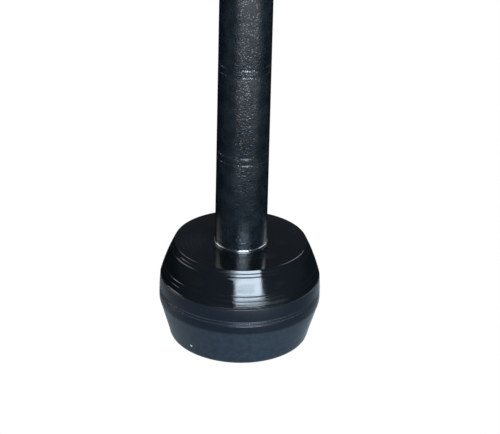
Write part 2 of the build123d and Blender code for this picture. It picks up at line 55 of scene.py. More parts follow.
# ---- surfaces ---------------------------------------------------------------------------------------
def grid_mesh(name, points, ring=False):
    """Mesh of a grid of points, shape (rows, columns, 3): every cell is one quad. Each row is a closed
    loop, and with ring the last row joins the first. Rows that run to one point become triangle fans."""
    rows, columns = points.shape[:2]
    i, j = np.meshgrid(np.arange(rows if ring else rows - 1), np.arange(columns), indexing="ij")
    i2, j2 = (i + 1) % rows, (j + 1) % columns
    quads = np.stack([i * columns + j, i * columns + j2, i2 * columns + j2, i2 * columns + j], axis=-1)
    return solid_from(name, points.reshape(-1, 3), quads.reshape(-1, 4))


def solid_from(name, points, faces):
    """Mesh from points and quads, with doubles merged, smooth but for its sharp edges."""
    mesh = bpy.data.meshes.new(name)
    mesh.from_pydata(points.tolist(), [], faces.tolist())
    bm = bmesh.new()
    bm.from_mesh(mesh)
    bmesh.ops.remove_doubles(bm, verts=bm.verts, dist=SAME_POINT)
    bmesh.ops.dissolve_degenerate(bm, edges=bm.edges, dist=SAME_POINT)
    bmesh.ops.recalc_face_normals(bm, faces=bm.faces)
    bm.to_mesh(mesh)
    bm.free()
    mesh.shade_smooth()
    mesh.set_sharp_from_angle(angle=math.radians(SHARP_DEGREES))
    return mesh


RECORD = frame["record"]
BODY_OF = {node: body for body, nodes in RECORD["behaviour"]["bodies"].items() for node in nodes}
SLOT_OF = {part["node"]: part["material_slot"] for part in RECORD["subparts"]}


def piece(name, mesh, node):
    """One visible piece at the origin that stands for a CAD node: it takes that node's body and finish."""
    made = bpy.data.objects.new(name, mesh)
    bpy.context.scene.collection.objects.link(made)
    mesh.materials.append(FINISH_OF[SLOT_OF[node]])
    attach(made, BODY_OF[node])
    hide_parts(node)
    return made


def merged_copy(node):
    """Copy of a CAD node's mesh with its doubles merged and its flat faces joined again."""
    bm = bmesh.new()
    bm.from_mesh(frame["nodes"][node].data)
    bmesh.ops.remove_doubles(bm, verts=bm.verts, dist=SAME_CAD_POINT)
    flat = math.radians(FLAT_DEGREES)
    bmesh.ops.dissolve_limit(bm, angle_limit=flat, verts=bm.verts, edges=bm.edges)
    mesh = bpy.data.meshes.new(node + "_copy")
    bm.to_mesh(mesh)
    bm.free()
    mesh.shade_smooth()
    return mesh


def eased(node, edge):
    """A CAD node with each sharp edge rounded off by edge mm."""
    made = piece(node + "_eased", merged_copy(node), node)
    bevel = made.modifiers.new("eased_edges", "BEVEL")
    bevel.width, bevel.segments = edge * MM, 3
    bevel.limit_method, bevel.angle_limit = "ANGLE", math.radians(SHARP_DEGREES)
    bevel.harden_normals = True
    bevel.use_clamp_overlap = True


def rounded(corners):
    """Closed profile through (x, y, radius) corners in mm: each corner is an arc of its radius, tangent to
    the two straight sides. A radius of 0 keeps the corner."""
    table = np.array(corners, float)
    spots, radii = table[:, :2], table[:, 2]
    profile = []
    for n, radius in enumerate(radii):
        here = spots[n]
        before, after = spots[n - 1] - here, spots[(n + 1) % len(spots)] - here
        if radius <= 0:
            profile.append(here[None])
            continue
        a, b = before / np.linalg.norm(before), after / np.linalg.norm(after)
        half = math.acos(np.clip(a @ b, -1, 1)) / 2
        reach = radius / math.tan(half)
        centre = here + (a + b) / np.linalg.norm(a + b) * radius / math.sin(half)
        start, end = here + a * reach - centre, here + b * reach - centre
        t = np.linspace(0, 1, ARC_STEPS + 1)[:, None]
        turn = math.pi - 2 * half
        swept = (np.sin((1 - t) * turn) * start + np.sin(t * turn) * end) / math.sin(turn)
        profile.append(centre + swept)
    return np.concatenate(profile)


def lathe(profile, segments):
    """Points of a closed (radius, height) profile in mm turned round the Z axis, in metres."""
    angle = np.linspace(0, TAU, segments, endpoint=False)
    r, z = profile[:, 0:1] * MM, profile[:, 1:2] * MM
    return np.stack([r * np.cos(angle), r * np.sin(angle), z + 0 * angle], axis=-1)


def turned(name, corners, segments):
    """Closed solid of revolution about Z from (radius, height, corner radius) corners in mm. A profile that
    touches the axis closes there in a point."""
    return grid_mesh(name, lathe(rounded(corners), segments), ring=True)


def v_groove(at, along, away, width, depth):
    """The three corners of a V groove across a straight side: at is its middle, along the side's unit
    direction in the order of travel, away the outward normal."""
    at, along, away = (np.array(v, float) for v in (at, along, away))
    return [
        (*(at - along * width / 2), GROOVE_LIP),
        (*(at - away * depth), GROOVE_LIP * 0.6),
        (*(at + along * width / 2), GROOVE_LIP),
    ]


# ---- shader helpers ---------------------------------------------------------------------------------
def add(tree, kind, sockets=None, **settings):
    """A node of one kind, with its settings and its sockets: numbers, colours or other nodes' outputs."""
    made = tree.nodes.new(kind)
    for name, value in settings.items():
        setattr(made, name, value)
    for name, value in (sockets or {}).items():
        target = made.inputs[name]
        if isinstance(value, bpy.types.NodeSocket):
            tree.links.new(value, target)
        else:
            target.default_value = value
    return made


def maths(tree, operation, a, b):
    """Output of one Math node on two numbers or sockets."""
    return add(tree, "ShaderNodeMath", {0: a, 1: b}, operation=operation).outputs[0]


def ramp(tree, value, low, high, floor=0.0, top=1.0):
    """Value taken from low..high to floor..top and held there outside."""
    made = add(
        tree,
        "ShaderNodeMapRange",
        {"Value": value, "From Min": low, "From Max": high, "To Min": floor, "To Max": top},
        interpolation_type="SMOOTHSTEP",
    )
    return made.outputs["Result"]


def blend_colour(tree, factor, a, b):
    """Colour a where factor is 0 and b where it is 1."""
    # the Mix node's sockets 0, 6 and 7 and its output 2 are the ones that its colour type uses
    return add(tree, "ShaderNodeMix", {0: factor, 6: a, 7: b}, data_type="RGBA").outputs[2]


def effect(name, inputs, outputs):
    """Empty shader node group with float inputs (name: default), a Vector input and float outputs."""
    group = bpy.data.node_groups.new(name, "ShaderNodeTree")
    group.interface.new_socket("Vector", in_out="INPUT", socket_type="NodeSocketVector")
    for title, default in inputs.items():
        socket = group.interface.new_socket(title, in_out="INPUT", socket_type="NodeSocketFloat")
        socket.default_value = default
    for title in outputs:
        group.interface.new_socket(title, in_out="OUTPUT", socket_type="NodeSocketFloat")
    return group, group.nodes.new("NodeGroupInput").outputs, group.nodes.new("NodeGroupOutput").inputs


def make_turning_lines():
    """Fine rings left by a lathe: noise of the distance from the Z axis and of the height, so that it runs
    round the axis; faded by a slow noise, because the tool's marks come and go."""
    group, given, out = effect("turning_lines", {"Rings per metre": 2500.0, "Fade": 0.5}, ["Height"])
    flat = add(group, "ShaderNodeVectorMath", {0: given["Vector"], 1: (1, 1, 0)}, operation="MULTIPLY")
    radius = add(group, "ShaderNodeVectorMath", {0: flat.outputs[0]}, operation="LENGTH").outputs["Value"]
    height = add(group, "ShaderNodeSeparateXYZ", {0: given["Vector"]}).outputs["Z"]
    rings = add(group, "ShaderNodeCombineXYZ", {"X": radius, "Y": height})
    fine = add(
        group,
        "ShaderNodeTexNoise",
        {"Vector": rings.outputs[0], "Scale": given["Rings per metre"], "Detail": 2.0, "Roughness": 0.6},
        noise_dimensions="2D",
    )
    slow = add(group, "ShaderNodeTexNoise", {"Vector": given["Vector"], "Scale": 60.0, "Detail": 1.0})
    kept = ramp(group, slow.outputs["Fac"], 0.35, 0.65)
    kept = maths(group, "MULTIPLY", maths(group, "SUBTRACT", 1.0, kept), given["Fade"])
    kept = maths(group, "SUBTRACT", 1.0, kept)
    group.links.new(maths(group, "MULTIPLY", fine.outputs["Fac"], kept), out["Height"])
    return group


def make_coat_grain():
    """Grain of a baked powder coat: small rounded bumps (smooth cells) broken up by a finer noise."""
    values = {"Grains per metre": 1500.0, "Break up": 0.5}
    group, given, out = effect("coat_grain", values, ["Height", "Patches"])
    cells = add(
        group,
        "ShaderNodeTexVoronoi",
        {"Vector": given["Vector"], "Scale": given["Grains per metre"], "Smoothness": 0.6},
        feature="SMOOTH_F1",
    )
    fine = add(
        group,
        "ShaderNodeTexNoise",
        {"Vector": given["Vector"], "Scale": given["Grains per metre"], "Detail": 3.0, "Roughness": 0.65},
    )
    bumps = maths(group, "SUBTRACT", 1.0, cells.outputs["Distance"])
    broken = maths(group, "MULTIPLY", fine.outputs["Fac"], given["Break up"])
    group.links.new(maths(group, "ADD", bumps, broken), out["Height"])
    slow_scale = maths(group, "MULTIPLY", given["Grains per metre"], 0.14)
    slow = add(group, "ShaderNodeTexNoise", {"Vector": given["Vector"], "Scale": slow_scale, "Detail": 3.0})
    group.links.new(ramp(group, slow.outputs["Fac"], 0.35, 0.65), out["Patches"])
    return group


def make_dust():
    """Sparse pale specks: the middles of a few large cells, each with its own size."""
    group, given, out = effect("dust", {"Cells per metre": 90.0, "Share": 0.1, "Size": 0.12}, ["Mask"])
    spacing = {"Vector": given["Vector"], "Scale": given["Cells per metre"]}
    cells = add(group, "ShaderNodeTexVoronoi", spacing)
    pick = add(group, "ShaderNodeSeparateColor", {0: cells.outputs["Color"]}).outputs
    chosen = maths(group, "GREATER_THAN", pick["Red"], maths(group, "SUBTRACT", 1.0, given["Share"]))
    size = maths(group, "MULTIPLY", maths(group, "ADD", pick["Green"], 0.3), given["Size"])
    inside = maths(group, "LESS_THAN", cells.outputs["Distance"], size)
    group.links.new(maths(group, "MULTIPLY", chosen, inside), out["Mask"])
    return group


def make_edge_wear():
    """Rubbed edges: where the normal of a softened edge leaves the true normal, broken up by noise."""
    group, given, out = effect("edge_wear", {"Width": 0.0006, "Amount": 0.5}, ["Mask"])
    soft = add(group, "ShaderNodeBevel", {"Radius": given["Width"]}, samples=4)
    true_normal = add(group, "ShaderNodeNewGeometry").outputs["Normal"]
    normals = {0: soft.outputs[0], 1: true_normal}
    apart = add(group, "ShaderNodeVectorMath", normals, operation="DOT_PRODUCT")
    edge = ramp(group, maths(group, "SUBTRACT", 1.0, apart.outputs["Value"]), 0.03, 0.2)
    noise = add(group, "ShaderNodeTexNoise", {"Vector": given["Vector"], "Scale": 180.0, "Detail": 5.0})
    broken = ramp(group, noise.outputs["Fac"], 0.42, 0.62)
    rubbed = maths(group, "MULTIPLY", edge, broken)
    group.links.new(maths(group, "MULTIPLY", rubbed, given["Amount"]), out["Mask"])
    return group


def make_handling():
    """Slow cloudy change of gloss, such as fingers and cloths leave."""
    group, given, out = effect("handling", {"Scale": 35.0, "Low": 0.3, "High": 0.4}, ["Value"])
    cloud = {"Vector": given["Vector"], "Scale": given["Scale"], "Detail": 4.0}
    noise = add(group, "ShaderNodeTexNoise", cloud).outputs["Fac"]
    span = {"From Min": 0.35, "From Max": 0.65, "To Min": given["Low"], "To Max": given["High"]}
    made = add(group, "ShaderNodeMapRange", {"Value": noise, **span})
    group.links.new(made.outputs["Result"], out["Value"])
    return group


TURNING_LINES = make_turning_lines()
COAT_GRAIN = make_coat_grain()
DUST = make_dust()
EDGE_WEAR = make_edge_wear()
HANDLING = make_handling()


class Finish:
    """One material under way: its tree, its shader and the object coordinates that its patterns follow."""

    def __init__(self, name, **constants):
        self.material = bpy.data.materials.new(name)
        self.material.use_nodes = True
        self.tree = self.material.node_tree
        self.tree.nodes.clear()
        sockets = {name.replace("_", " "): value for name, value in constants.items()}
        self.shader = add(self.tree, "ShaderNodeBsdfPrincipled", sockets)
        add(self.tree, "ShaderNodeOutputMaterial", {"Surface": self.shader.outputs[0]})
        self.place = add(self.tree, "ShaderNodeTexCoord").outputs["Object"]

    def effect(self, group, **values):
        """One of the shared effects, placed with this finish's own values."""
        made = self.tree.nodes.new("ShaderNodeGroup")
        made.node_tree = group
        self.tree.links.new(self.place, made.inputs["Vector"])
        for name, value in values.items():
            made.inputs[name.replace("_", " ")].default_value = value
        return made.outputs

    def set(self, socket, value):
        """Feed one of the shader's sockets."""
        self.tree.links.new(value, self.shader.inputs[socket])

    def handled(self, scale, low, high):
        """Roughness between low and high that changes in slow clouds, scale to the metre."""
        return self.effect(HANDLING, Scale=scale, Low=low, High=high)["Value"]

    def bump(self, height, distance, strength):
        """Small relief: height is a pattern of about 0 to 1, distance its depth in metres."""
        sockets = {"Height": height, "Distance": distance, "Strength": strength}
        self.set("Normal", add(self.tree, "ShaderNodeBump", sockets).outputs[0])


def rgb(r, g, b):
    return (r, g, b, 1.0)


# ---- finishes ---------------------------------------------------------------------------------------
# mm above the floor, where the boot's painted lighter tone gives way to the band's painted darker, glossier
# tone
BAND_SHADE_FROM, BAND_SHADE_TO = 22.5, 25.0


def gloss_enamel():
    """Black stoving enamel on turned steel: nearly a mirror, dulled in broad rings, with the lathe's fine
    rings just showing through."""
    f = Finish("gloss_enamel", IOR=1.55)
    lines = f.effect(TURNING_LINES, Rings_per_metre=2600.0, Fade=0.7)
    dust = f.effect(DUST, Cells_per_metre=70.0, Share=0.05, Size=0.05)
    black, speck = rgb(0.0032, 0.0042, 0.0052), rgb(0.10, 0.11, 0.12)
    f.set("Base Color", blend_colour(f.tree, dust["Mask"], black, speck))
    bands = f.effect(TURNING_LINES, Rings_per_metre=420.0, Fade=0.8)
    dulled = ramp(f.tree, bands["Height"], 0.30, 0.55, 0.0, 0.15)
    f.set("Roughness", maths(f.tree, "ADD", f.handled(26.0, 0.07, 0.13), dulled))
    f.bump(maths(f.tree, "ADD", lines["Height"], bands["Height"]), 0.00007, 0.6)
    return f.material


def powder_coat():
    """Semi-gloss black powder coat: fine rounded grain, with small bright flakes that sparkle in a
    highlight."""
    f = Finish("powder_coat", IOR=1.5)
    grain = f.effect(COAT_GRAIN, Grains_per_metre=1050.0, Break_up=0.8)
    wear = f.effect(EDGE_WEAR, Width=0.0005, Amount=0.35)
    dark, lighter = rgb(0.0040, 0.0062, 0.0074), rgb(0.0078, 0.0105, 0.0130)
    tone = blend_colour(f.tree, grain["Patches"], dark, lighter)
    flakes = f.effect(DUST, Cells_per_metre=900.0, Share=0.75, Size=0.38)["Mask"]
    tone = blend_colour(f.tree, flakes, tone, rgb(0.17, 0.175, 0.18))
    f.set("Base Color", blend_colour(f.tree, wear["Mask"], tone, rgb(0.22, 0.23, 0.24)))
    f.set("Metallic", flakes)
    f.set("Roughness", f.handled(42.0, 0.13, 0.20))
    f.bump(grain["Height"], 0.00020, 0.55)
    return f.material


def cast_coat():
    """Powder coat over sand-cast aluminium: the coat's grain on top of a broader, softer casting skin."""
    f = Finish("cast_coat", IOR=1.5)
    skin = f.effect(COAT_GRAIN, Grains_per_metre=420.0, Break_up=1.0)
    grain = f.effect(COAT_GRAIN, Grains_per_metre=1300.0, Break_up=0.6)
    wear = f.effect(EDGE_WEAR, Width=0.0009, Amount=0.5)
    tone = blend_colour(f.tree, skin["Patches"], rgb(0.009, 0.011, 0.013), rgb(0.016, 0.019, 0.022))
    f.set("Base Color", blend_colour(f.tree, wear["Mask"], tone, rgb(0.30, 0.31, 0.32)))
    f.set("Roughness", f.handled(36.0, 0.38, 0.55))
    both = maths(f.tree, "ADD", skin["Height"], maths(f.tree, "MULTIPLY", grain["Height"], 0.35))
    f.bump(both, 0.00022, 0.55)
    return f.material


def boot_rubber():
    """Dull blue-black rubber with a little dust. It is painted a lighter blue-grey below the band and
    darker in the band, which is painted light and shade on one rubber, and the band is also glossier.
    """
    f = Finish("boot_rubber", IOR=1.5, Sheen_Weight=0.2, Sheen_Roughness=0.4)
    height = add(f.tree, "ShaderNodeSeparateXYZ", {0: f.place}).outputs["Z"]
    # mask of the band: it paints the band darker as painted shade and also makes it glossier
    band_shade_and_gloss = ramp(f.tree, height, BAND_SHADE_FROM * MM, BAND_SHADE_TO * MM)
    grain = f.effect(COAT_GRAIN, Grains_per_metre=2600.0, Break_up=0.8)
    dust = f.effect(DUST, Cells_per_metre=75.0, Share=0.26, Size=0.07)
    dark, lighter = rgb(0.013, 0.019, 0.027), rgb(0.018, 0.026, 0.036)
    tone = blend_colour(f.tree, grain["Patches"], dark, lighter)
    # painted light and shade: the lower boot keeps a lighter blue-grey and the band gets a darker one, lit
    # and shaded tones of one rubber
    tone = blend_colour(f.tree, band_shade_and_gloss, tone, rgb(0.0060, 0.0085, 0.0125))
    f.set("Base Color", blend_colour(f.tree, dust["Mask"], tone, rgb(0.45, 0.46, 0.46)))
    band_gloss = maths(f.tree, "MULTIPLY", band_shade_and_gloss, -0.24)
    f.set("Roughness", maths(f.tree, "ADD", f.handled(30.0, 0.42, 0.55), band_gloss))
    f.bump(grain["Height"], 0.00004, 0.5)
    return f.material


def sheet_rubber():
    """Black rubber sheet with fine level ribs and a press texture."""
    f = Finish("sheet_rubber", IOR=1.5, Sheen_Weight=0.15)
    grain = f.effect(COAT_GRAIN, Grains_per_metre=1800.0, Break_up=0.9)
    dark, lighter = rgb(0.013, 0.013, 0.014), rgb(0.022, 0.022, 0.022)
    f.set("Base Color", blend_colour(f.tree, grain["Patches"], dark, lighter))
    f.set("Roughness", f.handled(25.0, 0.6, 0.75))
    wave = add(f.tree, "ShaderNodeTexWave", {"Vector": f.place, "Scale": 95.0}, bands_direction="Z")
    fine = maths(f.tree, "MULTIPLY", grain["Height"], 0.15)
    f.bump(maths(f.tree, "ADD", wave.outputs["Fac"], fine), 0.0004, 0.6)
    return f.material


def plated_steel(name, colour, low, high):
    """Plated or bare turned metal of one colour, with fine tool rings."""
    f = Finish(name, Metallic=1.0)
    lines = f.effect(TURNING_LINES, Rings_per_metre=3200.0, Fade=0.4)
    cloud = f.effect(COAT_GRAIN, Grains_per_metre=500.0, Break_up=0.6)
    darker = rgb(*(c * 0.8 for c in colour))
    f.set("Base Color", blend_colour(f.tree, cloud["Patches"], darker, rgb(*colour)))
    f.set("Roughness", f.handled(60.0, low, high))
    f.bump(lines["Height"], 0.00003, 0.4)
    return f.material


def moulded_plastic(name, colour, low, high, grain_height=0.00005):
    """Moulded plastic with a faint spark-eroded texture."""
    f = Finish(name, IOR=1.46)
    grain = f.effect(COAT_GRAIN, Grains_per_metre=1700.0, Break_up=0.6)
    lighter = rgb(*(min(1.0, c * 1.3 + 0.002) for c in colour))
    wear = f.effect(EDGE_WEAR, Width=0.0006, Amount=0.25)
    tone = blend_colour(f.tree, grain["Patches"], rgb(*colour), lighter)
    rubbed = rgb(*(min(1.0, c * 2 + 0.03) for c in colour))
    f.set("Base Color", blend_colour(f.tree, wear["Mask"], tone, rubbed))
    f.set("Roughness", f.handled(50.0, low, high))
    f.bump(grain["Height"], grain_height, 0.5)
    return f.material


FINISH_OF = {
    "gloss_black": gloss_enamel(),
    "powder_black": powder_coat(),
    "boot_rubber": boot_rubber(),
    "black_rubber": sheet_rubber(),
    "zinc_steel": plated_steel("zinc_plate", (0.60, 0.62, 0.63), 0.24, 0.38),
    "bright_steel": plated_steel("bright_steel", (0.72, 0.73, 0.74), 0.16, 0.26),
    "brass": plated_steel("machined_brass", (0.72, 0.50, 0.21), 0.22, 0.34),
    "cast_black": cast_coat(),
    "nylon": moulded_plastic("natural_nylon", (0.55, 0.53, 0.46), 0.42, 0.55),
    "black_plastic": moulded_plastic("black_nylon", (0.011, 0.011, 0.012), 0.38, 0.52, 0.00008),
    "cap_red": moulded_plastic("red_cap_plastic", (0.30, 0.012, 0.009), 0.16, 0.24, 0.00001),
}

# ---- foot -------------------------------------------------------------------------------------------
# radii and heights in mm above the floor
FOOT_TOP = 60.2
RIM_R, RIDGE_R, RIDGE_Z, CROWN = 38.2, 46.2, 39.2, 0.6
PLUG_R, BOOT_FLOOR = 35.7, 9.0
BORE_R, NUT_R, NUT_TOP = 8.1, 17.0, 23.5
BOOT_R, BAND_R, BAND_TOP, BAND_BOTTOM = 46.3, 46.75, 30.9, 24.3
BOOT_GROOVE_PITCH = 1.9
KNEE_R, KNEE_Z = 41.65, 7.4
SOLE_R, SOLE_ROUNDING = 39.75, 4.0
ACCESS_R = 17.5
TREAD_DEPTH = 2.0
TREAD_RING_R, TREAD_RING_HALF = 33.15, 1.0
TREAD_SLOTS, TREAD_SLOT_HALF, TREAD_SLOT_FROM, TREAD_SLOT_TO = 8, 1.5, 21.0, 28.65
SOLE_SCREWS, SOLE_SCREW_AT, SOLE_SCREW_R, SOLE_SCREW_DEPTH = 4, 26.0, 5.85, 5.0
SPINDLE_R = 8.0
# share of the way from rim to ridge, width and depth of each turned groove
TURNED = ((0.095, 0.7, 0.16), (0.18, 0.75, 0.2), (0.675, 0.8, 0.24), (0.80, 0.7, 0.2), (0.945, 0.9, 0.3))


def turned_side():
    """Side of the turned body from rim to ridge: a straight cone that bulges by 4 c s (1 - s) at share s of
    the way, less a rounded V at each groove."""
    rim, slope = np.array((RIM_R, FOOT_TOP)), np.array((RIDGE_R - RIM_R, RIDGE_Z - FOOT_TOP))
    length = np.linalg.norm(slope)
    normal = np.array((-slope[1], slope[0])) / length
    across = np.linspace(-0.65, 0.65, 11)
    near = [spot + across * width / length for spot, width, _ in TURNED]
    share = np.unique(np.concatenate([np.linspace(0.02, 0.985, 22), *near]))
    out = 4 * CROWN * share * (1 - share)
    for spot, width, depth in TURNED:
        off = np.abs(share - spot) * length / width
        out = out - depth * np.clip(1.06 - np.hypot(2 * off, 0.25), 0, None)
    return rim + share[:, None] * slope + out[:, None] * normal


def foot_profile():
    """Flat top with a small rounded rim, the turned side, the plug inside the boot, the recess for the nut
    and the bore for the spindle."""
    side = turned_side()
    top = rounded([(BORE_R, FOOT_TOP, 0.3), (RIM_R, FOOT_TOP, 0.45), (*side[3], 0.0), (BORE_R, 30, 0.0)])
    top = top[:-2]
    ridge = rounded([(*side[-4], 0.0), (RIDGE_R, RIDGE_Z, 0.25), (PLUG_R, RIDGE_Z, 0.0)])[1:]
    inside = rounded(
        [
            (PLUG_R, RIDGE_Z, 0.0),
            (PLUG_R, BOOT_FLOOR, 0.8),
            (NUT_R, BOOT_FLOOR, 0.3),
            (NUT_R, NUT_TOP, 0.6),
            (BORE_R, NUT_TOP, 0.3),
            (BORE_R, RIDGE_Z, 0.0),
        ]
    )[1:-1]
    keep = (side[:, 1] < top[-1, 1]) & (side[:, 1] > ridge[0, 1])
    return np.concatenate([top, side[keep], ridge, inside])


def boot_side():
    """Side of the rubber boot from its top lip to the rounded edge of the sole, grooves included."""
    corners = [(PLUG_R, RIDGE_Z, 0.0), (BOOT_R, RIDGE_Z, 0.3)]
    for height in (BAND_TOP, BAND_TOP - BOOT_GROOVE_PITCH):
        corners += v_groove((BAND_R - 0.03, height), (0, -1), (1, 0), 1.2, 0.6)
    return corners + [(BAND_R, BAND_BOTTOM, 7.0), (KNEE_R, KNEE_Z, 8.0), (SOLE_R, 0.0, SOLE_ROUNDING)]


def step_up(distance, soft=0.25):
    """0 outside a shape and 1 inside it, with a soft edge, from a distance that is positive inside."""
    t = np.clip(distance / soft + 0.5, 0, 1)
    return t * t * (3 - 2 * t)


def sole_height(x, y):
    """Height of the sole's underside in mm: the highest, at each point, of a ring groove near the edge,
    radial slots with round ends and counterbores for the sole screws."""
    r, angle = np.hypot(x, y), np.arctan2(y, x)
    ring = step_up(TREAD_RING_HALF - np.abs(r - TREAD_RING_R)) * TREAD_DEPTH
    step = TAU / TREAD_SLOTS
    off = angle % step - step / 2
    across, along = r * np.sin(off), r * np.cos(off)
    past = along - np.clip(along, TREAD_SLOT_FROM, TREAD_SLOT_TO)
    slots = step_up(TREAD_SLOT_HALF - np.hypot(across, past)) * TREAD_DEPTH
    step = TAU / SOLE_SCREWS
    turn = (angle + step / 2) % step - step / 2
    away = np.hypot(r * np.sin(turn), r * np.cos(turn) - SOLE_SCREW_AT)
    bores = step_up(SOLE_SCREW_R - away, 0.4) * SOLE_SCREW_DEPTH
    return np.maximum(np.maximum(ring, slots), bores)


def boot_mesh():
    """Boot turned from its side's profile; on the underside each point's height comes from sole_height."""
    closing = [(ACCESS_R, 0.0, 0.0), (ACCESS_R, BOOT_FLOOR, 0.0), (PLUG_R, BOOT_FLOOR, 0.0)]
    side = rounded(boot_side() + closing)
    last = len(side) - len(closing) - 1
    under = np.linspace(side[last, 0], ACCESS_R, 60)[1:-1]
    profile = np.concatenate([side[: last + 1], np.stack([under, 0 * under], axis=1), side[last + 1 :]])
    points = lathe(profile, 512)
    rows = slice(last + 1, last + 1 + len(under))
    x, y = points[rows, :, 0] / MM, points[rows, :, 1] / MM
    points[rows, :, 2] = sole_height(x, y) * MM
    return grid_mesh("boot", points, ring=True)


piece("turned_foot", grid_mesh("turned_foot", lathe(foot_profile(), 320), ring=True), "foot_body")
piece("sole_boot", boot_mesh(), "rubber_boot")

# ---- leg --------------------------------------------------------------------------------------------
TUBE_R, TUBE_BORE = 15.0, 12.5
TUBE_BOTTOM = FOOT_TOP + 0.8
TUBE_TOP = TUBE_BOTTOM + 500.0
MARK_FIRST, MARK_PITCH, MARK_GAP = 56.4, 53.8, 4.3
MARKS = [FOOT_TOP + MARK_FIRST + MARK_PITCH * n for n in range(8)]
THRUST_R, THRUST_BORE = 15.5, 8.35
CAP_R, CAP_RISE, CAP_STEM_R, CAP_STEM_BORE, CAP_STEM = 18.0, 4.0, 11.3, 8.8, 24
RIB_R, RIB_PITCH, RIBS = 12.48, 5.0, 4


def tube_profile():
    """Tube wall with rounded ends and a pair of V grooves at each height mark."""
    corners = [(TUBE_R, TUBE_BOTTOM, 0.5)]
    for mark in MARKS:
        for height in (mark - MARK_GAP / 2, mark + MARK_GAP / 2):
            corners += v_groove((TUBE_R, height), (0, 1), (1, 0), 1.0, 0.4)
    return corners + [(TUBE_R, TUBE_TOP, 0.5), (TUBE_BORE, TUBE_TOP, 0.3), (TUBE_BORE, TUBE_BOTTOM, 0.3)]


def cap_profile():
    """Moulded plug: low dome over the tube's end, ribs that grip the bore and a hollow below."""
    corners = [
        (0.0, TUBE_TOP + CAP_RISE, 0.0),
        (CAP_R, TUBE_TOP + CAP_RISE, 3.2),
        (CAP_R, TUBE_TOP, 0.4),
        (CAP_STEM_R, TUBE_TOP, 0.0),
    ]
    for n in range(RIBS):
        rib = TUBE_TOP - RIB_PITCH * (n + 1)
        corners += [
            (CAP_STEM_R, rib + 1.6, 0.1),
            (RIB_R, rib + 1.2, 0.2),
            (RIB_R, rib + 0.4, 0.2),
            (CAP_STEM_R, rib, 0.1),
        ]
    return corners + [
        (CAP_STEM_R, TUBE_TOP - CAP_STEM, 0.5),
        (CAP_STEM_BORE, TUBE_TOP - CAP_STEM, 0.4),
        (CAP_STEM_BORE, TUBE_TOP - 2.5, 1.0),
        (0.0, TUBE_TOP - 2.5, 0.0),
    ]


def thrust_profile():
    """Flat washer between the tube and the foot."""
    return [
        (THRUST_R, FOOT_TOP, 0.25),
        (THRUST_R, TUBE_BOTTOM, 0.25),
        (THRUST_BORE, TUBE_BOTTOM, 0.1),
        (THRUST_BORE, FOOT_TOP, 0.1),
    ]


piece("leg_sleeve", turned("leg_sleeve", tube_profile(), 192), "leg_tube")
piece("leg_cap", turned("leg_cap", cap_profile(), 128), "top_cap")
piece("thrust_ring", turned("thrust_ring", thrust_profile(), 192), "thrust_washer")


# ---- screw threads ----------------------------------------------------------------------------------
THREAD_COLUMNS, ROWS_PER_TURN = 64, 8
THREAD_DEPTH = 0.55 * 0.8  # shares of the pitch
CHAMFER = 0.9  # mm, at each end of a screw


def placed(points, origin, along, across):
    """Points worked out about the Z axis, moved to origin (mm), with Z turned to along and X to across."""
    axes = np.array([across, np.cross(along, across), along], float)
    return points @ axes + np.array(origin) * MM


def threaded(radius, length, pitch):
    """Screw along Z: the radius drops by a rounded V of the phase (height / pitch - turn), which fades out
    into a chamfer at each end."""
    rows = int(length / pitch * ROWS_PER_TURN)
    z = np.linspace(0, length, rows)[:, None]
    turn = np.linspace(0, 1, THREAD_COLUMNS, endpoint=False)[None]
    phase = (z / pitch - turn) % 1
    valley = np.clip(1.1 - np.hypot(4 * np.abs(phase - 0.5), 0.2), 0, None) ** 0.9
    r = radius - THREAD_DEPTH * pitch * valley
    end = np.minimum(z, length - z)
    r = np.minimum(r, radius - CHAMFER + np.minimum(end, CHAMFER))
    r, z = r * MM, z * MM + 0 * turn
    points = np.stack([r * np.cos(TAU * turn), r * np.sin(TAU * turn), z], axis=-1)
    poles = np.zeros((2, 1, 3))
    poles[1, 0, 2] = length * MM
    bottom, top = (np.repeat(pole[None], THREAD_COLUMNS, 1) for pole in poles)
    return np.concatenate([bottom, points, top])


def screw(name, node, radius, pitch, origin, length, along, across):
    """A threaded rod that starts at origin (mm) and points along."""
    points = placed(threaded(radius, length, pitch), origin, along, across)
    piece(name, grid_mesh(name, points), node)


# heights of the clamp's, the pivots' and the splay lock's axes
COLLAR_Z = TUBE_TOP - 87.8
PIVOT_Z = COLLAR_Z + 18.0
SPLAY_Z = PIVOT_Z - 31.0
screw("spindle_thread", "spindle", SPINDLE_R, 2.0, (0, 0, 12.0), 125.5, (0, 0, 1), (1, 0, 0))
screw("clamp_thread", "clamp_screw", 4.0, 1.25, (0, -17.32, COLLAR_Z), 36.06, (0, -1, 0), (1, 0, 0))
screw("splay_thread", "splay_stud", 4.0, 1.25, (18.22, 0, SPLAY_Z), 29.3, (1, 0, 0), (0, 1, 0))


# ---- hand knobs -------------------------------------------------------------------------------------
# shares of a knob's radius, but for the roundings and the recess, which are in mm
SCOOP_R, SCOOP_AT, SCOOP_BLEND, HUB_R, CAP_SHARE = 0.42, 1.22, 0.025, 0.5, 0.38
GRIP_ROUNDING, CAP_RECESS = 2.2, 1.6


